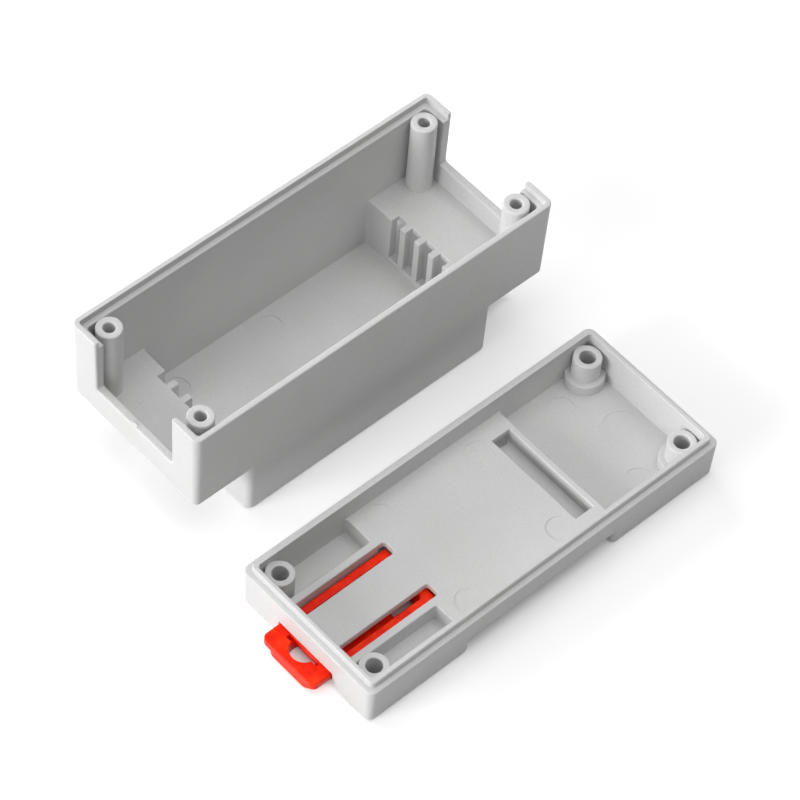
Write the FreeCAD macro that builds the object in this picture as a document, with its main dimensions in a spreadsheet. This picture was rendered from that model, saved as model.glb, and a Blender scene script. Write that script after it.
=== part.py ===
import FreeCAD, Part
import math
import os
import Sketcher

# Rail-mounted electronics enclosure, shown opened: the cover lies upside down
# beside the base tray, and the sliding rail clip sits in the base.
# Millimetres. X runs along the box, Y across it, Z up from the table.

doc = FreeCAD.newDocument("RailEnclosure")

# Driving dimensions

sheet = doc.addObject("Spreadsheet::Sheet", "Sizes")

SIZES = [
    # the box in plan, shared by cover and base
    ("box_length", 88.0),
    ("box_width", 35.9),
    ("wall", 2.15),
    ("corner_radius", 1.6),
    ("inner_corner_radius", 0.6),
    # where the four screws stand, from the end wall and from the side wall
    ("screw_from_end", 5.15),
    ("screw_from_side", 5.0),
    # cover
    ("cover_height", 34.4),
    ("cover_draft", 1.05),
    ("shoulder_height", 13.75),
    ("shoulder_length", 13.7),
    ("shoulder_floor", 1.5),
    ("cover_floor", 2.5),
    ("riser_wall", 1.95),
    ("rim_lip", 1.05),
    ("rim_rebate_depth", 1.55),
    ("ear_width", 7.2),
    ("sill_height", 20.5),
    ("cover_edge_radius", 0.8),
    ("shoulder_edge_radius", 0.6),
    ("riser_edge_radius", 1.4),
    ("cover_post_diameter", 5.25),
    ("cover_post_below_rim", 0.95),
    ("cover_pilot_diameter", 2.35),
    ("cover_pilot_depth", 12.0),
    ("vent_width", 2.45),
    ("vent_pitch", 4.0),
    ("vent_count", 5),
    ("vent_sill", 1.3),
    # base
    ("base_height", 9.55),
    ("base_draft", 1.8),
    ("base_floor", 1.8),
    ("base_edge_radius", 0.8),
    ("lip_clearance", 0.1),
    ("lip_height", 1.45),
    ("lip_corner_radius", 1.0),
    ("platform_top", 6.0),
    ("bay_wall", 1.7),
    ("pocket_wall", 0.9),
    ("pocket_from_middle", 9.1),
    ("base_post_diameter", 5.75),
    ("base_post_below_shoulder", 0.5),
    ("screw_clearance_diameter", 3.2),
    ("screw_head_diameter", 4.6),
    ("screw_head_depth", 2.9),
    ("collar_diameter", 8.0),
    ("collar_top", 4.3),
    # rail seat: a 35 mm rail with play, and the fixed hook that holds one flange
    ("rail_seat_width", 36.2),
    ("rail_seat_centre", -1.1),
    ("rail_seat_depth", 4.45),
    ("rail_seat_corner", 1.2),
    ("hook_reach", 4.0),
    ("hook_thickness", 2.45),
    ("hook_tip_thickness", 1.1),
    ("hook_bevel_length", 2.2),
    ("hook_slot_half", 11.5),
    ("hook_side_gap", 0.3),
    ("hook_slot_relief", 0.3),
    # clip guide under the base
    ("clip_slot_inner", 4.5),
    ("clip_slot_outer", 7.5),
    ("clip_slot_corner", 0.7),
    ("clip_slot_past_seat", 1.15),
    ("guide_half", 7.3),
    ("guide_roof", 4.25),
    ("guide_lip_top", 2.15),
    ("guide_lip_reach", 0.85),
    ("clip_play", 0.15),
    ("clip_side_gap", 0.15),
    # clip
    ("tab_reach", 4.2),
    ("tab_corner", 1.3),
    ("tab_edge_radius", 0.3),
    ("clip_tongue_reach", 3.4),
    ("clip_tongue_tip", 0.7),
    ("clip_tongue_bevel", 2.6),
    ("clip_shelf_reach", 1.15),
    ("clip_foot_inset", 0.2),
    ("clip_foot_corner", 2.2),
    ("clip_foot_side_gap", 0.4),
    ("clip_underside", 0.5),
    ("clip_rail_width", 1.75),
    ("clip_web_top", 2.0),
    ("clip_web_start", 3.0),
    ("clip_web_end", 0.9),
    ("clip_recess_corner", 0.8),
    ("clip_window_half", 4.3),
    ("driver_hole_radius", 2.85),
    ("driver_ledge_from_wall", 0.1),
    ("driver_groove_half", 4.1),
    ("driver_groove_reach", 0.75),
    ("driver_groove_depth", 1.7),
    ("clip_travel", 3.2),
    ("stop_peg_from_seat", 5.8),
    ("stop_peg_diameter", 2.0),
    ("stop_peg_clearance", 0.2),
    ("spring_arm_width", 0.9),
    ("spring_arm_length", 10.0),
    ("spring_side_gap", 0.9),
    # marks left by the mould's ejector pins
    ("pin_mark_depth", 0.12),
    ("pin_mark_radius", 2.7),
    ("big_pin_mark_radius", 3.85),
    ("cover_mark_pitch", 23.4),
    ("cover_mark_across", 11.8),
    ("right_mark_along", 9.0),
    ("right_mark_across", 11.2),
    ("left_mark_along", 14.9),
    ("left_mark_across", 12.2),
    ("bay_mark_along", 30.6),
    ("bay_mark_across", 10.8),
    ("big_mark_along", 36.6),
    # where the two halves lie on the table
    ("half_gap", 13.0),
]

for row, (alias, value) in enumerate(SIZES, start=1):
    sheet.set("A%d" % row, alias)
    sheet.set("B%d" % row, str(value))
    sheet.setAlias("B%d" % row, alias)
doc.recompute()

NAMES = sorted((alias for alias, _ in SIZES), key=len, reverse=True)


def bind(expression):
    """Turn a rule written with bare size names into a spreadsheet expression."""
    words = []
    word = ""
    for char in expression + " ":
        if char.isalnum() or char == "_":
            word += char
            continue
        words.append("Sizes." + word if word in NAMES else word)
        words.append(char)
        word = ""
    return "".join(words).strip()


def value(expression):
    """Number that a rule gives with the present sizes."""
    found = sheet.evalExpression(bind(expression))
    return float(getattr(found, "Value", found))


# Sketch and feature helpers

def make_body(name):
    body = doc.addObject("PartDesign::Body", name)
    body.Label = name
    return body


def make_sketch(body, name, plane, shift=("0", "0", "0")):
    """Sketch on one of the body's own origin planes, moved by three rules."""
    sketch = body.newObject("Sketcher::SketchObject", name)
    for feature in body.Origin.OriginFeatures:
        if feature.Role == plane:
            sketch.AttachmentSupport = [(feature, "")]
    sketch.MapMode = "FlatFace"
    for axis, rule in zip("xyz", shift):
        sketch.setExpression("AttachmentOffset.Base." + axis, bind(rule))
    return sketch


def driven(sketch, kind, args, rule):
    """Add a dimension whose value follows a rule."""
    number = sketch.addConstraint(Sketcher.Constraint(kind, *args, value(rule)))
    sketch.setExpression("Constraints[%d]" % number, bind(rule))


def add_rectangle(sketch, width, height, radius=None, at=None):
    """Rectangle with centre at the sketch origin, or at a pair of rules,
    with four rounded corners when a radius rule is given."""
    half_x = value(width) / 2
    half_y = value(height) / 2
    mid_x, mid_y = (0.0, 0.0) if at is None else (value(at[0]), value(at[1]))
    rounded = radius is not None
    trim = value(radius) if rounded else 0.0
    signs = [(-1, -1), (1, -1), (1, 1), (-1, 1)]
    first = sketch.GeometryCount
    for index in range(4):
        sx, sy = signs[index]
        ex, ey = signs[(index + 1) % 4]
        along_x = index % 2 == 0
        start = FreeCAD.Vector(mid_x + sx * half_x, mid_y + sy * half_y, 0)
        end = FreeCAD.Vector(mid_x + ex * half_x, mid_y + ey * half_y, 0)
        step = (end - start).normalize() * trim
        sketch.addGeometry(Part.LineSegment(start + step, end - step))
        axis = "Horizontal" if along_x else "Vertical"
        sketch.addConstraint(Sketcher.Constraint(axis, first + index))
    if rounded:
        for index in range(4):
            sx, sy = signs[(index + 1) % 4]
            centre = FreeCAD.Vector(mid_x + sx * (half_x - trim), mid_y + sy * (half_y - trim), 0)
            circle = Part.Circle(centre, FreeCAD.Vector(0, 0, 1), trim)
            begin = math.radians(-90 + 90 * index)
            sketch.addGeometry(Part.ArcOfCircle(circle, begin, begin + math.pi / 2))
        for index in range(4):
            arc = first + 4 + index
            following = first + (index + 1) % 4
            sketch.addConstraint(Sketcher.Constraint("Tangent", first + index, 2, arc, 1))
            sketch.addConstraint(Sketcher.Constraint("Tangent", arc, 2, following, 1))
            if index:
                sketch.addConstraint(Sketcher.Constraint("Equal", first + 4, arc))
        driven(sketch, "Radius", (first + 4,), radius)
    else:
        for index in range(4):
            following = first + (index + 1) % 4
            sketch.addConstraint(Sketcher.Constraint("Coincident", first + index, 2, following, 1))
    driven(sketch, "Distance", (first, 1, first + 2), height)
    driven(sketch, "Distance", (first + 1, 1, first + 3), width)
    if at is None:
        driven(sketch, "Distance", (-1, 1, first), "(%s) / 2" % height)
        driven(sketch, "Distance", (-1, 1, first + 3), "(%s) / 2" % width)
    else:
        driven(sketch, "DistanceX", (-1, 1, first, 1), place_rule(at[0], width, radius))
        driven(sketch, "DistanceY", (-1, 1, first + 3, 2), place_rule(at[1], height, radius))


def place_rule(middle, size, radius):
    """Rule for a corner's distance from the sketch origin."""
    if radius is None:
        return "(%s) - (%s) / 2" % (middle, size)
    return "(%s) - (%s) / 2 + (%s)" % (middle, size, radius)


def add_circle(sketch, diameter, at=("0", "0")):
    centre = FreeCAD.Vector(value(at[0]), value(at[1]), 0)
    circle = Part.Circle(centre, FreeCAD.Vector(0, 0, 1), value(diameter) / 2)
    number = sketch.addGeometry(circle)
    driven(sketch, "Diameter", (number,), diameter)
    for kind, rule in zip(("DistanceX", "DistanceY"), at):
        if abs(value(rule)) < 1e-9:
            axis = -2 if kind == "DistanceX" else -1
            sketch.addConstraint(Sketcher.Constraint("PointOnObject", number, 3, axis))
        else:
            driven(sketch, kind, (-1, 1, number, 3), rule)


def finish(body, feature):
    doc.recompute()
    if feature.isValid() and not feature.Shape.isNull():
        body.Tip = feature
        return feature
    raise RuntimeError(feature.Name + " was not made")


def pad(body, sketch, name, length, down=False, taper=None):
    feature = body.newObject("PartDesign::Pad", name)
    feature.Profile = sketch
    feature.setExpression("Length", bind(length))
    feature.Reversed = down
    if taper is not None:
        feature.setExpression("TaperAngle", bind(taper))
    return finish(body, feature)


def pocket(body, sketch, name, depth=None, up=False, both=False):
    """Cut downward from the sketch, upward, or through everything."""
    before = body.Tip.Shape.Volume
    feature = body.newObject("PartDesign::Pocket", name)
    feature.Profile = sketch
    feature.Reversed = up
    if depth is None:
        feature.Type = "ThroughAll"
        feature.Midplane = both
    else:
        feature.setExpression("Length", bind(depth))
        feature.Midplane = both
    made = finish(body, feature)
    if before - made.Shape.Volume < 0.01:
        raise RuntimeError(name + " cut nothing")
    return made


def edges_where(shape, test, upright=False):
    """Names of the edges whose points all pass a test, or only the upright ones."""
    names = []
    for number, edge in enumerate(shape.Edges, start=1):
        first, last = edge.ParameterRange
        points = [edge.valueAt(first + (last - first) * part) for part in (0.0, 0.5, 1.0)]
        flat = abs(points[0].z - points[2].z) < 0.3
        if all(test(point) for point in points) and not (upright and flat):
            names.append("Edge%d" % number)
    return names


def fillet(body, name, radius, test, upright=False):
    base = body.Tip
    chosen = edges_where(base.Shape, test, upright)
    feature = body.newObject("PartDesign::Fillet", name)
    feature.Base = (base, chosen)
    feature.setExpression("Radius", bind(radius))
    return finish(body, feature)


def near(a, b, slack=0.02):
    return abs(a - b) < slack


SCREW_X = "(box_length / 2 - screw_from_end)"
SCREW_Y = "(box_width / 2 - screw_from_side)"
CORNERS = [(-1, -1), (1, -1), (1, 1), (-1, 1)]


def add_screw_circles(sketch, diameter, only_x=None):
    for sx, sy in CORNERS:
        if only_x in (None, sx):
            add_circle(sketch, diameter, ("%d * %s" % (sx, SCREW_X), "%d * %s" % (sy, SCREW_Y)))


# Cover: a stepped shell, here upside down with its open rim at the top

RISER_FACE = "(box_length / 2 - shoulder_length)"
RISER_INNER = "(box_length / 2 - shoulder_length - riser_wall)"
SHOULDER_TOP = "(shoulder_height + shoulder_floor)"


def build_cover():
    body = make_body("cover_shell")

    outline = make_sketch(body, "CoverOutline", "XY_Plane", ("0", "0", "cover_height"))
    add_rectangle(outline, "box_length", "box_width", "corner_radius")
    pad(body, outline, "CoverBlock", "cover_height", down=True, taper="-1 * cover_draft")

    # the two ends step up: in use they clear the terminals beside the raised middle
    steps = make_sketch(body, "ShoulderProfile", "XZ_Plane")
    for side in ("-1", "1"):
        add_rectangle(
            steps, "2 * shoulder_length", "2 * shoulder_height",
            at=(side + " * box_length / 2", "0"))
    pocket(body, steps, "ShoulderCut", both=True)

    half_x = value("box_length / 2")
    half_y = value("box_width / 2")
    step_z = value("shoulder_height")
    face_x = value(RISER_FACE)

    def upright_corner(point):
        inside = 0.1 < point.z < step_z - 0.1 or near(point.z, 0) or near(point.z, step_z)
        return near(abs(point.x), face_x) and abs(point.y) > half_y - 1.0 and inside

    fillet(body, "RiserCorners", "riser_edge_radius", upright_corner)

    def bottom_rim(point):
        return near(point.z, 0)

    fillet(body, "FrontEdges", "cover_edge_radius", bottom_rim)

    def shoulder_rim(point):
        return near(point.z, step_z) and (
            abs(point.x) > half_x - 2.0 or abs(point.y) > half_y - 0.9)

    fillet(body, "ShoulderEdges", "shoulder_edge_radius", shoulder_rim)

    upper = make_sketch(body, "UpperCavitySketch", "XY_Plane", ("0", "0", "cover_height"))
    add_rectangle(upper, "box_length - 2 * wall", "box_width - 2 * wall", "inner_corner_radius")
    pocket(body, upper, "UpperCavity", "cover_height - " + SHOULDER_TOP)

    deep = make_sketch(body, "DeepCavitySketch", "XY_Plane", ("0", "0", SHOULDER_TOP))
    add_rectangle(deep, "2 * " + RISER_INNER, "box_width - 2 * wall", "inner_corner_radius")
    pocket(body, deep, "DeepCavity", SHOULDER_TOP + " - cover_floor")

    rebate = make_sketch(body, "RimRebateSketch", "XY_Plane", ("0", "0", "cover_height"))
    add_rectangle(
        rebate, "box_length - 2 * rim_lip", "box_width - 2 * rim_lip", "inner_corner_radius")
    pocket(body, rebate, "RimRebate", "rim_rebate_depth")

    # cable openings: a wide notch in each end wall leaves a sill and two ears
    notch = make_sketch(body, "EndNotchSketch", "YZ_Plane", ("0", "cover_height", "0"))
    add_rectangle(
        notch, "box_width - 2 * ear_width", "2 * (cover_height - sill_height)",
        "inner_corner_radius")
    pocket(body, notch, "EndNotches", both=True)

    posts = make_sketch(
        body, "CoverPostSketch", "XY_Plane", ("0", "0", "cover_height - cover_post_below_rim"))
    add_screw_circles(posts, "cover_post_diameter")
    pad(body, posts, "CoverPosts",
        "cover_height - cover_post_below_rim - " + SHOULDER_TOP + " + 0.2", down=True)

    pilots = make_sketch(
        body, "PilotSketch", "XY_Plane", ("0", "0", "cover_height - cover_post_below_rim"))
    add_screw_circles(pilots, "cover_pilot_diameter")
    pocket(body, pilots, "PilotHoles", "cover_pilot_depth")

    # one slot box cuts both risers, because the middle between them is open
    vent = make_sketch(
        body, "VentSketch", "XY_Plane",
        ("0", "-1 * vent_pitch * (vent_count - 1) / 2", SHOULDER_TOP))
    add_rectangle(vent, "2 * " + RISER_FACE + " + 0.1", "vent_width")
    first = pocket(body, vent, "VentSlot", SHOULDER_TOP + " - cover_floor - vent_sill")
    row = body.newObject("PartDesign::LinearPattern", "VentRow")
    row.Originals = [first]
    row.Direction = (vent, ["V_Axis"])
    row.setExpression("Length", bind("vent_pitch * (vent_count - 1)"))
    row.setExpression("Occurrences", bind("vent_count"))
    finish(body, row)

    marks = make_sketch(body, "CoverPinMarks", "XY_Plane", ("0", "0", "cover_floor"))
    for x in ("-1 * cover_mark_pitch", "0", "cover_mark_pitch"):
        for side in ("-1", "1"):
            add_circle(marks, "2 * pin_mark_radius", (x, side + " * cover_mark_across"))
    pocket(body, marks, "CoverPinMarkCut", "pin_mark_depth")
    return body


# Base: a shallow tray with a raised lip, rail seat and clip guide beneath

SEAT_LEFT = "(rail_seat_centre - rail_seat_width / 2)"
SEAT_RIGHT = "(rail_seat_centre + rail_seat_width / 2)"
BASE_TOP = "(base_height + lip_height)"
LIP_INSET = "(rim_lip + lip_clearance)"
PEG_X = "(%s - stop_peg_from_seat)" % SEAT_LEFT


def span(start, end):
    """Middle and size of a stretch given by the rules for its two ends."""
    return "((%s) + (%s)) / 2" % (start, end), "((%s) - (%s))" % (end, start)


def build_base():
    body = make_body("base_shell")

    outline = make_sketch(body, "BaseOutline", "XY_Plane", ("0", "0", "base_height"))
    add_rectangle(outline, "box_length", "box_width", "corner_radius")
    pad(body, outline, "BaseBlock", "base_height", down=True, taper="-1 * base_draft")
    fillet(body, "BaseEdges", "base_edge_radius", lambda point: near(point.z, 0))

    lip = make_sketch(body, "LipSketch", "XY_Plane", ("0", "0", "base_height"))
    add_rectangle(
        lip, "box_length - 2 * " + LIP_INSET, "box_width - 2 * " + LIP_INSET,
        "lip_corner_radius")
    pad(body, lip, "Lip", "lip_height")

    upper = make_sketch(body, "TraySketch", "XY_Plane", ("0", "0", BASE_TOP))
    add_rectangle(upper, "box_length - 2 * wall", "box_width - 2 * wall", "inner_corner_radius")
    pocket(body, upper, "Tray", BASE_TOP + " - platform_top")

    # deep bay at the far end and two deep pockets beside the clip
    mid, size = span(SEAT_RIGHT + " + bay_wall", "box_length / 2 - wall")
    bay = make_sketch(body, "BaySketch", "XY_Plane", ("0", "0", "platform_top"))
    add_rectangle(bay, size, "box_width - 2 * wall", "inner_corner_radius", at=(mid, "0"))
    pocket(body, bay, "Bay", "platform_top - base_floor")

    mid_x, size_x = span("-1 * box_length / 2 + wall", SEAT_LEFT + " - pocket_wall")
    mid_y, size_y = span("pocket_from_middle", "box_width / 2 - wall")
    pockets = make_sketch(body, "SidePocketSketch", "XY_Plane", ("0", "0", "platform_top"))
    for side in ("1", "-1"):
        add_rectangle(
            pockets, size_x, size_y, "inner_corner_radius", at=(mid_x, side + " * " + mid_y))
    pocket(body, pockets, "SidePockets", "platform_top - base_floor")

    # screw posts, with a thicker collar round the foot of the two in the deep bay
    posts = make_sketch(
        body, "BasePostSketch", "XY_Plane",
        ("0", "0", "base_height - base_post_below_shoulder"))
    add_screw_circles(posts, "base_post_diameter")
    pad(body, posts, "BasePosts",
        "base_height - base_post_below_shoulder - base_floor + 0.2", down=True)
    collars = make_sketch(body, "CollarSketch", "XY_Plane", ("0", "0", "collar_top"))
    add_screw_circles(collars, "collar_diameter", only_x=1)
    pad(body, collars, "Collars", "collar_top - base_floor + 0.2", down=True)

    # rail seat across the underside, open through both side walls
    seat = make_sketch(body, "RailSeatProfile", "XZ_Plane")
    add_rectangle(
        seat, "rail_seat_width", "2 * rail_seat_depth", at=("rail_seat_centre", "0"))
    pocket(body, seat, "RailSeat", both=True)
    seat_faces = (value(SEAT_LEFT), value(SEAT_RIGHT))
    fillet(
        body, "RailSeatEdges", "rail_seat_corner",
        lambda point: near(point.z, 0) and min(abs(point.x - face) for face in seat_faces) < 0.02)

    # fixed hook: a tongue that reaches under one flange of the rail
    hook = make_sketch(body, "HookProfile", "XZ_Plane")
    outline = [
        ("-1 * hook_reach", "hook_thickness"),
        ("0.3", "hook_thickness"),
        ("0.3", "0"),
        ("hook_bevel_length - hook_reach", "0"),
        ("-1 * hook_reach", "hook_thickness - hook_tip_thickness"),
    ]
    add_polygon(hook, [(SEAT_RIGHT + " + " + x, z) for x, z in outline])
    made = body.newObject("PartDesign::Pad", "Hook")
    made.Profile = hook
    made.Midplane = True
    made.setExpression("Length", bind("2 * (hook_slot_half - hook_side_gap)"))
    finish(body, made)

    # moulding slot above the hook, and the step below it
    mid, size = span(SEAT_RIGHT + " - hook_reach", SEAT_RIGHT + " + hook_slot_relief")
    slot = make_sketch(body, "HookSlotSketch", "XY_Plane", ("0", "0", "platform_top"))
    add_rectangle(slot, size, "2 * hook_slot_half", at=(mid, "0"))
    pocket(body, slot, "HookSlot", "platform_top - hook_thickness")

    # clip guide: a groove from the end wall to the rail seat, narrower at the
    # bottom so that two ledges carry the clip
    mid, size = span("-1 * box_length / 2 - 1", SEAT_LEFT + " + 0.5")
    guide = make_sketch(body, "GuideSketch", "XY_Plane", ("0", "0", "guide_lip_top"))
    add_rectangle(guide, size, "2 * guide_half", at=(mid, "0"))
    pocket(body, guide, "Guide", "guide_roof - guide_lip_top", up=True)
    throat = make_sketch(body, "ThroatSketch", "XY_Plane", ("0", "0", "-1"))
    add_rectangle(throat, size, "2 * (guide_half - guide_lip_reach)", at=(mid, "0"))
    pocket(body, throat, "Throat", "guide_lip_top + 2", up=True)

    # two long slots over those ledges, where the mould formed them
    mid_x, size_x = span("-1 * box_length / 2 + wall", SEAT_LEFT + " + clip_slot_past_seat")
    mid_y, size_y = span("clip_slot_inner", "clip_slot_outer")
    slots = make_sketch(body, "ClipSlotSketch", "XY_Plane", ("0", "0", "platform_top"))
    for side in ("1", "-1"):
        add_rectangle(slots, size_x, size_y, at=(mid_x, side + " * " + mid_y))
    pocket(body, slots, "ClipSlots", "platform_top - guide_lip_top")
    slot_end = value(SEAT_LEFT + " + clip_slot_past_seat")
    roof = value("rail_seat_depth")
    fillet(
        body, "ClipSlotCorners", "clip_slot_corner",
        lambda point: near(point.x, slot_end) and point.z > roof - 0.01, upright=True)

    # peg that the clip's window runs against at both ends of its travel
    peg = make_sketch(body, "StopPegSketch", "XY_Plane", ("0", "0", "guide_roof + 0.2"))
    add_circle(peg, "stop_peg_diameter", (PEG_X, "0"))
    pad(body, peg, "StopPeg", "guide_roof - clip_underside", down=True)

    # screws enter from below: clearance through each post, head recess at its foot
    holes = make_sketch(body, "ScrewHoleSketch", "XY_Plane", ("0", "0", "-0.5"))
    add_screw_circles(holes, "screw_clearance_diameter")
    pocket(body, holes, "ScrewHoles", "base_height + 2", up=True)
    heads = make_sketch(body, "ScrewHeadSketch", "XY_Plane", ("0", "0", "0"))
    add_screw_circles(heads, "screw_head_diameter")
    pocket(body, heads, "ScrewHeadRecess", "screw_head_depth", up=True)

    shallow = make_sketch(body, "PlatformPinMarks", "XY_Plane", ("0", "0", "platform_top"))
    for x, y in (("right_mark_along", "right_mark_across"), ("-1 * left_mark_along", "left_mark_across")):
        for side in ("1", "-1"):
            add_circle(shallow, "2 * pin_mark_radius", (x, "%s * %s" % (side, y)))
    pocket(body, shallow, "PlatformPinMarkCut", "pin_mark_depth")
    floor = make_sketch(body, "BayPinMarks", "XY_Plane", ("0", "0", "base_floor"))
    add_circle(floor, "2 * big_pin_mark_radius", ("big_mark_along", "0"))
    for side in ("1", "-1"):
        add_circle(floor, "2 * pin_mark_radius", ("bay_mark_along", side + " * bay_mark_across"))
    pocket(body, floor, "BayPinMarkCut", "pin_mark_depth")
    return body


def add_polygon(sketch, corners):
    """Closed outline through corner rules, each corner dimensioned from the origin."""
    first = sketch.GeometryCount
    points = [FreeCAD.Vector(value(x), value(z), 0) for x, z in corners]
    for index, point in enumerate(points):
        sketch.addGeometry(Part.LineSegment(point, points[(index + 1) % len(points)]))
    for index in range(len(points)):
        following = first + (index + 1) % len(points)
        sketch.addConstraint(Sketcher.Constraint("Coincident", first + index, 2, following, 1))
    for index, (x, z) in enumerate(corners):
        for kind, rule in (("DistanceX", x), ("DistanceY", z)):
            if abs(value(rule)) < 1e-9:
                axis = -2 if kind == "DistanceX" else -1
                sketch.addConstraint(
                    Sketcher.Constraint("PointOnObject", first + index, 1, axis))
            else:
                driven(sketch, kind, (-1, 1, first + index, 1), rule)


# Clip: slides in the base's guide and hooks under the other flange of the rail

CLIP_TOP = "(guide_roof - clip_play)"
CLIP_STEP = "(guide_lip_top + clip_play)"
CLIP_HALF = "(guide_half - clip_side_gap)"
FOOT_HALF = "(guide_half - guide_lip_reach - clip_foot_side_gap)"
TAB_END = "(-1 * box_length / 2 - tab_reach)"


def build_clip():
    body = make_body("rail_clip")

    mid, size = span(TAB_END, SEAT_LEFT + " + clip_shelf_reach")
    plate = make_sketch(body, "ClipPlateSketch", "XY_Plane", ("0", "0", CLIP_STEP))
    add_rectangle(plate, size, "2 * " + CLIP_HALF, at=(mid, "0"))
    pad(body, plate, "ClipPlate", CLIP_TOP + " - " + CLIP_STEP)

    # the lower layer ends in a bevelled tongue that the rail pushes aside
    foot = make_sketch(body, "ClipFootProfile", "XZ_Plane")
    tip = SEAT_LEFT + " + clip_tongue_reach"
    add_polygon(foot, [
        (TAB_END + " + clip_foot_inset", "clip_underside"),
        (tip + " - clip_tongue_bevel", "clip_underside"),
        (tip, CLIP_STEP + " - clip_tongue_tip"),
        (tip, CLIP_STEP),
        (TAB_END + " + clip_foot_inset", CLIP_STEP),
    ])
    made = body.newObject("PartDesign::Pad", "ClipFoot")
    made.Profile = foot
    made.Midplane = True
    made.setExpression("Length", bind("2 * " + FOOT_HALF))
    finish(body, made)

    end_x = value(TAB_END)
    foot_x = value(TAB_END + " + clip_foot_inset")
    foot_y = value(FOOT_HALF)
    top_z = value(CLIP_TOP)
    step_z = value(CLIP_STEP)
    fillet(
        body, "TabCorners", "tab_corner",
        lambda point: point.z > step_z - 0.01 and point.x < end_x + 0.02, upright=True)
    fillet(
        body, "FootCorners", "clip_foot_corner",
        lambda point: point.z < step_z + 0.01 and near(point.x, foot_x) and near(abs(point.y), foot_y),
        upright=True)
    fillet(
        body, "TabTopEdge", "tab_edge_radius",
        lambda point: near(point.z, top_z) and near(point.x, end_x))

    # recess between the two side rails, with a window through the web
    mid, size = span("-1 * box_length / 2 + clip_web_start", SEAT_LEFT + " - clip_web_end")
    recess = make_sketch(body, "ClipRecessSketch", "XY_Plane", ("0", "0", CLIP_TOP))
    add_rectangle(
        recess, size, "2 * (%s - clip_rail_width)" % CLIP_HALF, "clip_recess_corner", at=(mid, "0"))
    pocket(body, recess, "ClipRecess", CLIP_TOP + " - clip_web_top")

    peg_room = "stop_peg_diameter / 2 + stop_peg_clearance"
    mid, size = span(PEG_X + " - " + peg_room, PEG_X + " + clip_travel + " + peg_room)
    window = make_sketch(body, "ClipWindowSketch", "XY_Plane", ("0", "0", CLIP_TOP))
    add_rectangle(window, size, "2 * clip_window_half", at=(mid, "0"))
    pocket(body, window, "ClipWindow")

    # a slot behind each spring arm frees it, so that it can close on the peg
    arm_inner = "(stop_peg_diameter / 2 + stop_peg_clearance)"
    arm_outer = "(%s + spring_arm_width)" % arm_inner
    mid, size = span(PEG_X + " - spring_arm_length", PEG_X + " - " + peg_room + " + 0.1")
    middle_gap = make_sketch(body, "SpringGapSketch", "XY_Plane", ("0", "0", CLIP_TOP))
    add_rectangle(middle_gap, size, "2 * %s" % arm_inner, at=(mid, "0"))
    pocket(body, middle_gap, "SpringGap")
    mid_y, size_y = span(arm_outer, arm_outer + " + spring_side_gap")
    side_gap = make_sketch(body, "SpringSideSketch", "XY_Plane", ("0", "0", CLIP_TOP))
    for side in ("1", "-1"):
        add_rectangle(side_gap, size, size_y, at=(mid, side + " * " + mid_y))
    pocket(body, side_gap, "SpringSides")

    # screwdriver hole, half under the wall; a ledge across its inner half takes
    # the push of the blade, and a groove runs along that ledge outside the wall
    hole = make_sketch(body, "DriverHoleSketch", "XY_Plane", ("0", "0", CLIP_TOP))
    add_circle(hole, "2 * driver_hole_radius", ("-1 * box_length / 2", "0"))
    pocket(body, hole, "DriverHole")
    ledge_face = "-1 * box_length / 2 + driver_ledge_from_wall"
    mid, size = span(ledge_face, "-1 * box_length / 2 + clip_web_start")
    ledge = make_sketch(body, "DriverLedgeSketch", "XY_Plane", ("0", "0", CLIP_STEP))
    add_rectangle(ledge, size, "2 * driver_groove_half", at=(mid, "0"))
    pad(body, ledge, "DriverLedge", CLIP_TOP + " - " + CLIP_STEP)
    mid, size = span("-1 * box_length / 2 - driver_groove_reach", ledge_face)
    groove = make_sketch(body, "DriverGrooveSketch", "XY_Plane", ("0", "0", CLIP_TOP))
    add_rectangle(groove, size, "2 * driver_groove_half", at=(mid, "0"))
    pocket(body, groove, "DriverGroove", "driver_groove_depth")
    return body


cover = build_cover()
base = build_base()
clip = build_clip()

# The two halves lie side by side; the part's box is centred on the origin.

MID_X = "tab_reach / 2"
PLACES = [
    (cover, "box_width / 2 + half_gap / 2"),
    (base, "-1 * (box_width / 2 + half_gap / 2)"),
    (clip, "-1 * (box_width / 2 + half_gap / 2)"),
]
for body, across in PLACES:
    body.setExpression("Placement.Base.x", bind(MID_X))
    body.setExpression("Placement.Base.y", bind(across))
doc.recompute()

for item in doc.Objects:
    if "Invalid" in item.State or "Error" in item.State:
        raise RuntimeError(item.Name + " failed: " + " ".join(item.State))

os.makedirs("parts", exist_ok=True)
for body in (cover, base, clip):
    if body.Shape.isNull() or not body.Shape.isValid() or len(body.Shape.Solids) != 1:
        raise RuntimeError(body.Name + " is not one sound solid")
    body.Shape.exportStep("parts/" + body.Label + ".step")
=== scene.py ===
import math

import bmesh
import bpy
import numpy as np
from mathutils import Matrix, Vector


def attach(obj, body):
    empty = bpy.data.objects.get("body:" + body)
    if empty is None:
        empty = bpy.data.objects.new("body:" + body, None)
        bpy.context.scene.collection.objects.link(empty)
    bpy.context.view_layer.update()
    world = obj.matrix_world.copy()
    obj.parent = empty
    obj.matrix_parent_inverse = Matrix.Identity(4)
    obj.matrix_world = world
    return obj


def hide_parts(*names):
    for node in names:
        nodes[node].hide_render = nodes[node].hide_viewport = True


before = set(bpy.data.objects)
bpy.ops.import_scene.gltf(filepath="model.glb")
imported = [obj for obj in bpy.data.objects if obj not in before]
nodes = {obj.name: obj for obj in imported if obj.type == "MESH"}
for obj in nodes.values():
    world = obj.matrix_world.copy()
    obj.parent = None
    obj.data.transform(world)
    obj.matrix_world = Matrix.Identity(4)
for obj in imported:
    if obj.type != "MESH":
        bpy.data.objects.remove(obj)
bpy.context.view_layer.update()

MM = 0.001

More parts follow.
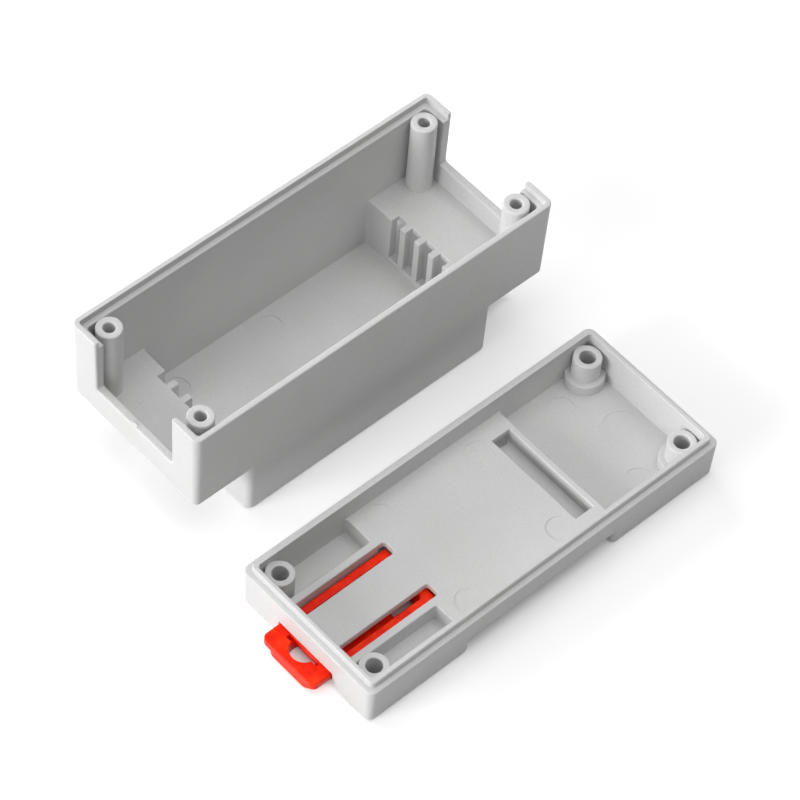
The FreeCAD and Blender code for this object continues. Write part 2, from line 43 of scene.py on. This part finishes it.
# Places that the solids have. The cover's middle is at (MIDDLE_X, HALF_Y), the base's at (MIDDLE_X, -HALF_Y)
MIDDLE_X = 2.1 * MM
HALF_Y = 24.45 * MM
POST_X = 38.85 * MM
POST_Y = 12.95 * MM
COVER_POSTS = [(MIDDLE_X + sx * POST_X, HALF_Y + sy * POST_Y) for sx in (-1, 1) for sy in (-1, 1)]
BASE_POSTS = [(MIDDLE_X + sx * POST_X, -HALF_Y + sy * POST_Y) for sx in (-1, 1) for sy in (-1, 1)]
POST_REACH = 4.3 * MM
BASE_SIDES = (-HALF_Y - 15.8 * MM, -HALF_Y + 15.8 * MM)
BASE_END_INSIDE = 41.85 * MM
PLATFORM_Z = 6.0 * MM
PASSAGE_TOP = 5.0 * MM
END_FACE = (43.6 * MM, 44.1 * MM)
NOTCH_HALF_WIDTH = 10.9 * MM
NOTCH_BOTTOM = 20.4 * MM
RIM_Z = 34.4 * MM
RIM_INSIDE_X = 43.05 * MM
RIM_INSIDE_Y = 17.1 * MM
NEARLY = 0.02 * MM

# Edges that turn by more than SHARP are rounded, and triangles that turn by less than MERGED are one face
SHARP = math.radians(35)
MERGED = math.radians(0.6)
LARGE_RADIUS_STEPS = 5
SMALL_RADIUS_STEPS = 3


# Camera: long lens, fitted to the viewing angle

def place_camera():
    """Camera from its right, up and backward directions and its place in metres."""
    right = Vector((0.743427, -0.666448, 0.056243))
    up = Vector((0.512713, 0.621889, 0.591929))
    back = Vector((-0.429467, -0.411220, 0.804025))
    data = bpy.data.cameras.new("view_camera")
    data.sensor_fit = "HORIZONTAL"
    data.sensor_width = 36.0
    data.lens = 175.43
    data.clip_start = 0.01
    data.clip_end = 20.0
    camera = bpy.data.objects.new("view_camera", data)
    bpy.context.scene.collection.objects.link(camera)
    turn = Matrix((right, up, back)).transposed().to_4x4()
    camera.matrix_world = Matrix.Translation((-0.30981, -0.29898, 0.60093)) @ turn
    bpy.context.scene.camera = camera


# Colour and node helpers

def linear(code):
    """Linear RGBA from an sRGB hex code: c / 12.92 below 0.04045, else ((c + 0.055) / 1.055) ^ 2.4."""
    values = []
    for start in (0, 2, 4):
        c = int(code[start:start + 2], 16) / 255.0
        values.append(c / 12.92 if c <= 0.04045 else ((c + 0.055) / 1.055) ** 2.4)
    return (values[0], values[1], values[2], 1.0)


def grey_value(share):
    """Linear RGBA of a neutral grey that throws back this share of the light."""
    return (share, share, share, 1.0)


def add_node(tree, kind, settings=None, links=None):
    """Adds one node. Settings are attributes or input values by name, links go from sockets to inputs."""
    node = tree.nodes.new(kind)
    for name, setting in (settings or {}).items():
        if hasattr(node, name) and name not in node.inputs:
            setattr(node, name, setting)
        else:
            node.inputs[name].default_value = setting
    for name, socket in (links or {}).items():
        tree.links.new(socket, node.inputs[name])
    return node


def feed(tree, socket, source):
    """Gives an input a constant, or links another node's output to it."""
    if isinstance(source, bpy.types.NodeSocket):
        tree.links.new(source, socket)
    else:
        socket.default_value = source


def maths(tree, operation, first, second=0.0):
    """One math node; each input is a number or a socket."""
    node = add_node(tree, "ShaderNodeMath", {"operation": operation})
    feed(tree, node.inputs[0], first)
    feed(tree, node.inputs[1], second)
    return node.outputs[0]


def mixed_colour(tree, share, first, second, blend="MIX"):
    """Mix of two colours; share, first and second are constants or sockets."""
    node = add_node(tree, "ShaderNodeMix", {"data_type": "RGBA", "blend_type": blend})
    feed(tree, node.inputs[0], share)
    feed(tree, node.inputs[6], first)
    feed(tree, node.inputs[7], second)
    return node.outputs[2]


def map_range(tree, value, from_min, from_max, to_min=0.0, to_max=1.0):
    """Straight ramp from one range of a value to another, held at its ends."""
    return add_node(tree, "ShaderNodeMapRange", {"From Min": from_min, "From Max": from_max,
                                                 "To Min": to_min, "To Max": to_max},
                    {"Value": value}).outputs["Result"]


def colour_ramp(tree, value, stops):
    """Colours along a value, from (position, colour) pairs."""
    node = add_node(tree, "ShaderNodeValToRGB", links={"Fac": value})
    ramp = node.color_ramp
    while len(ramp.elements) > 1:
        ramp.elements.remove(ramp.elements[-1])
    ramp.elements[0].position = stops[0][0]
    ramp.elements[0].color = stops[0][1]
    for position, colour in stops[1:]:
        ramp.elements.new(position).color = colour
    return node.outputs["Color"]


def per_metre(size_mm):
    """Texture scale for a feature of that size in millimetres on Object coordinates in metres."""
    return 1000.0 / size_mm


def noise(tree, place, size_mm, detail, roughness):
    """Cloudy pattern whose features measure size_mm."""
    return add_node(tree, "ShaderNodeTexNoise",
                    {"Scale": per_metre(size_mm), "Detail": detail, "Roughness": roughness},
                    {"Vector": place}).outputs["Fac"]


def object_place(tree):
    return add_node(tree, "ShaderNodeTexCoord").outputs["Object"]


def new_material(name):
    material = bpy.data.materials.new(name)
    material.use_nodes = True
    tree = material.node_tree
    tree.nodes.clear()
    return material, tree


def seen_directly(tree):
    """1 for rays from the camera, also by way of gloss or glass, and 0 for the light on the object."""
    path = add_node(tree, "ShaderNodeLightPath")
    seen = maths(tree, "MAXIMUM", path.outputs["Is Camera Ray"], path.outputs["Is Glossy Ray"])
    return maths(tree, "MAXIMUM", seen, path.outputs["Is Transmission Ray"])


# Materials

def moulded_surface(tree, colour, roughness, grain, grain_strength, ior, specular):
    """Ends a plastic's tree: colour, roughness and a fine bump from its grain."""
    bump = add_node(tree, "ShaderNodeBump", {"Strength": grain_strength, "Distance": 0.012 * MM},
                    {"Height": grain})
    shader = add_node(tree, "ShaderNodeBsdfPrincipled", {"IOR": ior, "Specular IOR Level": specular},
                      {"Base Color": colour, "Roughness": roughness, "Normal": bump.outputs["Normal"]})
    add_node(tree, "ShaderNodeOutputMaterial", links={"Surface": shader.outputs["BSDF"]})


def moulded_grey_abs():
    """ABS, injection moulded in a lightly spark-eroded mould: an even light grey, satin, with a fine grain,
    soft cloudy changes of tone where the melt cooled and a few darker specks."""
    material, tree = new_material("moulded_grey_abs")
    place = object_place(tree)
    cloud = noise(tree, place, 22.0, 3.0, 0.55)
    tone = colour_ramp(tree, cloud,
                       [(0.3, linear("CDCDCC")), (0.55, linear("D1D1D1")), (0.75, linear("D5D5D4"))])
    grain = noise(tree, place, 0.35, 2.0, 0.6)
    grain_tone = colour_ramp(tree, grain, [(0.3, linear("F4F4F4")), (0.7, linear("FFFFFF"))])
    grained = mixed_colour(tree, 1.0, tone, grain_tone, "MULTIPLY")
    # specks of darker pigment about 0.15 mm across, one every few millimetres
    specks = add_node(tree, "ShaderNodeTexVoronoi", {"Scale": per_metre(2.6), "Randomness": 1.0},
                      {"Vector": place})
    speck_mask = colour_ramp(tree, specks.outputs["Distance"], [(0.02, (1, 1, 1, 1)), (0.055, (0, 0, 0, 1))])
    speckled = mixed_colour(tree, speck_mask, grained, linear("A8A8A6"))
    roughness = map_range(tree, cloud, 0.3, 0.7, 0.40, 0.52)
    moulded_surface(tree, speckled, roughness, grain, grain_strength=0.35, ior=1.53, specular=0.42)
    return material


def moulded_red_acetal():
    """Acetal, injection moulded in a polished mould: saturated orange red, slick and a little waxy."""
    material, tree = new_material("moulded_red_acetal")
    place = object_place(tree)
    cloud = noise(tree, place, 2.6, 3.0, 0.6)
    tone = colour_ramp(tree, cloud,
                       [(0.35, linear("E81A00")), (0.5, linear("F52603")), (0.65, linear("FF380A"))])
    grain = noise(tree, place, 0.5, 2.0, 0.5)
    roughness = map_range(tree, cloud, 0.3, 0.7, 0.26, 0.36)
    moulded_surface(tree, tone, roughness, grain, grain_strength=0.25, ior=1.48, specular=0.12)
    return material


def outside(tree, place, middle_x, half_x, middle_y, half_y):
    """Ramp over d = max(|x - mx| - hx, |y - my| - hy), the distance from a rectangle: 0 from 4 mm inside it,
    1 from 0.5 mm outside it."""
    away = []
    for axis, middle, half in (("X", middle_x, half_x), ("Y", middle_y, half_y)):
        distance = maths(tree, "ABSOLUTE", maths(tree, "SUBTRACT", place.outputs[axis], middle))
        away.append(maths(tree, "SUBTRACT", distance, half))
    return map_range(tree, maths(tree, "MAXIMUM", away[0], away[1]), -4.0 * MM, 0.5 * MM)


def paper_with_painted_light_and_shade():
    """Matt white paper. A glow for the rays that seen_directly picks turns it fully white in the open. The
    glow is left off beneath the base and behind the vents, so the real shade there shows. Behind the vents
    the sheet
    also looks a darker grey: painted shade for the floor seen through the vents. Towards the left end, beside
    the clip's tab, the glow is stronger: painted light that washes out the red light the clip throws on the
    sheet. The light that it throws back is weaker than it looks."""
    material, tree = new_material("paper_with_painted_light_and_shade")
    seen = seen_directly(tree)
    place = add_node(tree, "ShaderNodeSeparateXYZ", links={"Vector": object_place(tree)})
    # painted shade: in a rectangle behind the vents the sheet is drawn a darker grey and its glow is left off
    painted_vent_shade_mask = outside(tree, place, MIDDLE_X + 34.0 * MM, 8.5 * MM, HALF_Y + 4.0 * MM, 16.0 * MM)
    under_base = outside(tree, place, MIDDLE_X, 44.0 * MM, -HALF_Y, 17.95 * MM)
    # painted light: the glow grows from 0.24 to 0.42 towards the left end beside the clip's tab, which hides
    # the red light that the clip throws on the sheet
    painted_light_beside_tab = map_range(tree, place.outputs["X"], -40.0 * MM, -46.0 * MM, 0.24, 0.42)
    glow_with_painted_light = maths(tree, "MULTIPLY", maths(tree, "MINIMUM", painted_vent_shade_mask, under_base), painted_light_beside_tab)
    # the grey 0.45 behind the vents is painted shade; 0.86 is the sheet's own white
    colour_with_painted_shade = mixed_colour(tree, painted_vent_shade_mask, grey_value(0.45), grey_value(0.86))
    thrown = mixed_colour(tree, seen, grey_value(0.6), colour_with_painted_shade)
    paper = add_node(tree, "ShaderNodeBsdfDiffuse", links={"Color": thrown})
    glow = add_node(tree, "ShaderNodeEmission", {"Color": grey_value(1.0)},
                    {"Strength": maths(tree, "MULTIPLY", seen, glow_with_painted_light)})
    both = add_node(tree, "ShaderNodeAddShader")
    feed(tree, both.inputs[0], paper.outputs[0])
    feed(tree, both.inputs[1], glow.outputs[0])
    add_node(tree, "ShaderNodeOutputMaterial", links={"Surface": both.outputs[0]})
    return material


def give(piece, material):
    piece.data.materials.clear()
    piece.data.materials.append(material)


# Softened edges: every moulded edge has a small radius that catches the light

def is_corner(edge):
    """True for a convex edge between two faces that turn by more than SHARP."""
    return edge.is_manifold and edge.is_convex and edge.calc_face_angle() > SHARP


def depth_from(edge, face):
    """Largest distance of the face's corners from the edge's line: |(p - a) x d| for a unit direction d."""
    start = edge.verts[0].co
    along = (edge.verts[1].co - start).normalized()
    return max((vert.co - start).cross(along).length for vert in face.verts)


def near_post(point, centres, reach):
    """True where a point lies within reach of the axis of one of the upright posts."""
    return min(math.hypot(point.x - x, point.y - y) for x, y in centres) < reach


def touches_wall(edge, posts, side_y):
    """True for an edge of a post's ring where the post meets one of the side walls."""
    middle = (edge.verts[0].co + edge.verts[1].co) / 2
    return near_post(middle, posts, POST_REACH) and min(abs(middle.y - y) for y in side_y) < 0.45 * MM


def passage_edge(edge):
    """True for the edges of the clip's passage on the inner face of the base's left wall."""
    return all(abs(vert.co.x - MIDDLE_X + BASE_END_INSIDE) < NEARLY and vert.co.z < PASSAGE_TOP
               for vert in edge.verts)


def notch_edge(edge):
    """True for the outer edges of the cable openings: the sill's top edge and the ears' upright edges."""
    ends = [vert.co for vert in edge.verts]
    outer = all(END_FACE[0] < abs(p.x - MIDDLE_X) < END_FACE[1] for p in ends)
    return outer and all(abs(p.y - HALF_Y) < NOTCH_HALF_WIDTH and p.z > NOTCH_BOTTOM for p in ends)


def rim_edge(edge):
    """True for the inner edge of the rim's top, where the step for the other half's lip begins."""
    ends = [vert.co for vert in edge.verts]
    middle = (ends[0] + ends[1]) / 2
    return all(abs(p.z - RIM_Z) < NEARLY and abs(p.x - MIDDLE_X) < RIM_INSIDE_X for p in ends) and \
        abs(middle.y - HALF_Y) < RIM_INSIDE_Y


def spare_platform_ends(work, chosen, posts):
    """Takes platform edges beside a post off the list. A long one that only ends there is split, and its last
    millimetre stays sharp, because a radius can't run into a post's ring."""
    for edge in list(chosen):
        if all(abs(vert.co.z - PLATFORM_Z) < NEARLY for vert in edge.verts):
            close = [vert for vert in edge.verts if near_post(vert.co, posts, 4.8 * MM)]
            if len(close) == 2:
                chosen.remove(edge)
            elif close and edge.calc_length() > 2.5 * MM:
                bmesh.utils.edge_split(edge, close[0], 1.0 * MM / edge.calc_length())


def round_off(work, edges, radius, steps):
    bmesh.ops.bevel(work, geom=edges, offset=radius, offset_type="OFFSET", segments=steps, profile=0.5,
                    affect="EDGES", clamp_overlap=False)


def shade_evenly(mesh):
    """Corner normals: at each corner of a face, the sum of area times normal over the faces that share its
    vertex and are turned from it by less than SHARP. Flat faces stay flat and small radii turn softly."""
    count = len(mesh.loops)
    vertex = np.empty(count, dtype=np.int64)
    mesh.loops.foreach_get("vertex_index", vertex)
    sizes = np.empty(len(mesh.polygons), dtype=np.int64)
    mesh.polygons.foreach_get("loop_total", sizes)
    area = np.empty(len(sizes))
    mesh.polygons.foreach_get("area", area)
    normal = np.empty(len(sizes) * 3)
    mesh.polygons.foreach_get("normal", normal)
    face = np.repeat(np.arange(len(sizes)), sizes)
    normal = normal.reshape(-1, 3)[face]
    area = area[face][:, None]
    order = np.argsort(vertex, kind="stable")
    sharing = np.bincount(vertex)[vertex[order]]
    first = np.searchsorted(vertex[order], vertex[order])
    rank = np.arange(count) - first
    total = (normal * area)[order]
    own = normal[order]
    for shift in range(1, int(sharing.max())):
        other = order[first + (rank + shift) % sharing]
        close = (own * normal[other]).sum(axis=1) > math.cos(SHARP)
        close &= shift < sharing
        total += np.where(close[:, None], normal[other] * area[other], 0.0)
    corner = np.empty((count, 3))
    corner[order] = total / np.linalg.norm(total, axis=1)[:, None]
    mesh.polygons.foreach_set("use_smooth", np.ones(len(sizes), dtype=bool))
    mesh.normals_split_custom_set(corner)


def add_piece(name, mesh, body):
    """Puts a mesh in the scene as a piece that rides a body."""
    piece = bpy.data.objects.new(name, mesh)
    bpy.context.scene.collection.objects.link(piece)
    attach(piece, body)
    return piece


def softened(node, name, body, radius_mm, posts=(), side_y=(), broad=None, broad_mm=0.0, sharp=None):
    """Copy of a solid with its flat triangles merged and its outer edges rounded. An edge is rounded where
    it is convex, sharper than 35 degrees, and both faces beside it reach 2.2 radii or more from it.
    Rings round the post axes keep their triangles, because a merged ring can't be rounded. The edges that
    the test broad picks are rounded first, with the radius broad_mm, and those that the test sharp picks
    stay sharp, like those of a ring that meets one of the walls at side_y."""
    work = bmesh.new()
    work.from_mesh(node.data)
    bmesh.ops.remove_doubles(work, verts=work.verts, dist=0.0005 * MM)
    apart = [vert for vert in work.verts if not (posts and near_post(vert.co, posts, POST_REACH))]
    loose = set(apart)
    flat = [edge for edge in work.edges if edge.verts[0] in loose or edge.verts[1] in loose]
    bmesh.ops.dissolve_limit(work, angle_limit=MERGED, verts=apart, edges=flat)
    if broad:
        round_off(work, [edge for edge in work.edges if is_corner(edge) and broad(edge)],
                  broad_mm * MM, LARGE_RADIUS_STEPS)
    radius = radius_mm * MM
    chosen = [edge for edge in work.edges
              if is_corner(edge) and min(depth_from(edge, face) for face in edge.link_faces) > 2.2 * radius
              and not (sharp and sharp(edge)) and not (side_y and touches_wall(edge, posts, side_y))]
    if side_y:
        spare_platform_ends(work, chosen, posts)
    round_off(work, chosen, radius, SMALL_RADIUS_STEPS)
    mesh = bpy.data.meshes.new(name)
    work.to_mesh(mesh)
    work.free()
    shade_evenly(mesh)
    piece = add_piece(name, mesh, body)
    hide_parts(node.name)
    return piece


# Small burr of torn plastic on the sill of the left cable opening

def torn_burr():
    """Closed lumpy sliver along Y. With t from 0 to pi along it and u round it:
    n = 1 + 0.22 sin(2 u + 3 t) + 0.16 sin(5 t + 0.7) and, in mm round its middle,
    p = (0.26 n sin(t) cos(u), 0.95 cos(t) + 0.08 sin(3 u) sin(t), 0.17 n sin(t) sin(u))."""
    middle = [-40.98, 24.9, 20.53]
    half_length = 0.95
    rings, turns = 15, 14
    t = np.linspace(0.0, math.pi, rings)[1:-1, None]
    u = np.linspace(0.0, 2.0 * math.pi, turns, endpoint=False)[None, :]
    n = 1.0 + 0.22 * np.sin(2.0 * u + 3.0 * t) + 0.16 * np.sin(5.0 * t + 0.7)
    x = 0.26 * n * np.sin(t) * np.cos(u)
    y = half_length * np.cos(t) + 0.08 * np.sin(3.0 * u) * np.sin(t)
    z = 0.17 * n * np.sin(t) * np.sin(u)
    points = np.stack([x, y, z], axis=-1).reshape(-1, 3)
    points = np.vstack([points, [[0.0, half_length, 0.0], [0.0, -half_length, 0.0]]]) + middle
    start, end = len(points) - 2, len(points) - 1
    faces = []
    for row in range(rings - 3):
        for col in range(turns):
            a, b = row * turns + col, row * turns + (col + 1) % turns
            faces.append((a, a + turns, b + turns, b))
    for col in range(turns):
        after = (col + 1) % turns
        faces.append((start, col, after))
        faces.append((end, start - turns + after, start - turns + col))
    mesh = bpy.data.meshes.new("torn_burr")
    mesh.from_pydata((points * MM).tolist(), [], faces)
    mesh.polygons.foreach_set("use_smooth", [True] * len(faces))
    return add_piece("torn_burr", mesh, "housing")


# Floor, light and background

def lay_floor():
    """White sheet under both halves that keeps their shadows, with painted shade behind the vents and painted
    light beside the tab.
    """
    half = 2.5
    mesh = bpy.data.meshes.new("table_top")
    corners = [(-half, -half, 0), (half, -half, 0), (half, half, 0), (-half, half, 0)]
    mesh.from_pydata(corners, [], [(0, 1, 2, 3)])
    mesh.materials.append(paper_with_painted_light_and_shade())
    table = bpy.data.objects.new("table_top", mesh)
    bpy.context.scene.collection.objects.link(table)


def distant_lamp(name, direction, share, spread):
    """Distant lamp: share is the brightness that it alone gives a white face turned to it, and spread is its
    width in degrees."""
    data = bpy.data.lights.new(name, "SUN")
    data.energy = share * math.pi
    data.angle = math.radians(spread)
    item = bpy.data.objects.new(name, data)
    item.rotation_euler = Vector(direction).to_track_quat("Z", "Y").to_euler()
    bpy.context.scene.collection.objects.link(item)


def hang_lamps():
    """Low window on the left, another on the far side, and soft light from above, the right and the front."""
    distant_lamp("left_window", (-0.95, 0.145, 0.25), 0.70, 33)
    distant_lamp("left_window_rim", (-0.95, 0.30, 0.25), 0.20, 24)
    distant_lamp("left_softbox", (-0.80, 0.08, 0.60), 0.08, 55)
    distant_lamp("overhead_softbox", (0.0, 0.0, 1.0), 0.31, 60)
    distant_lamp("far_window", (-0.10, 0.93, 0.35), 0.64, 50)
    distant_lamp("right_reflector", (0.60, 0.0, 0.80), 0.20, 60)
    distant_lamp("near_reflector", (0.0, -0.60, 0.80), 0.12, 60)


def white_room():
    """World that looks white, also by way of gloss or glass, and adds almost no light."""
    world = bpy.data.worlds.new("white_room")
    bpy.context.scene.world = world
    world.use_nodes = True
    tree = world.node_tree
    tree.nodes.clear()
    room = add_node(tree, "ShaderNodeBackground", {"Color": grey_value(1.0), "Strength": 0.01})
    white = add_node(tree, "ShaderNodeBackground", {"Color": grey_value(1.0), "Strength": 1.0})
    mixed = add_node(tree, "ShaderNodeMixShader", links={"Fac": seen_directly(tree)})
    feed(tree, mixed.inputs[1], room.outputs[0])
    feed(tree, mixed.inputs[2], white.outputs[0])
    add_node(tree, "ShaderNodeOutputWorld", links={"Surface": mixed.outputs[0]})


place_camera()
lay_floor()
hang_lamps()
white_room()

grey = moulded_grey_abs()
red = moulded_red_acetal()
cover = softened(nodes["cover_shell"], "cover_moulding", "housing", 0.3, COVER_POSTS,
                 broad=notch_edge, broad_mm=0.5, sharp=rim_edge)
base = softened(nodes["base_shell"], "base_moulding", "housing", 0.26, BASE_POSTS,
                BASE_SIDES, sharp=passage_edge)
clip = softened(nodes["rail_clip"], "clip_moulding", "clip", 0.15)
for piece in (torn_burr(), cover, base, nodes["cover_shell"], nodes["base_shell"]):
    give(piece, grey)
for piece in (clip, nodes["rail_clip"]):
    give(piece, red)

bpy.context.scene.view_settings.view_transform = "Standard"
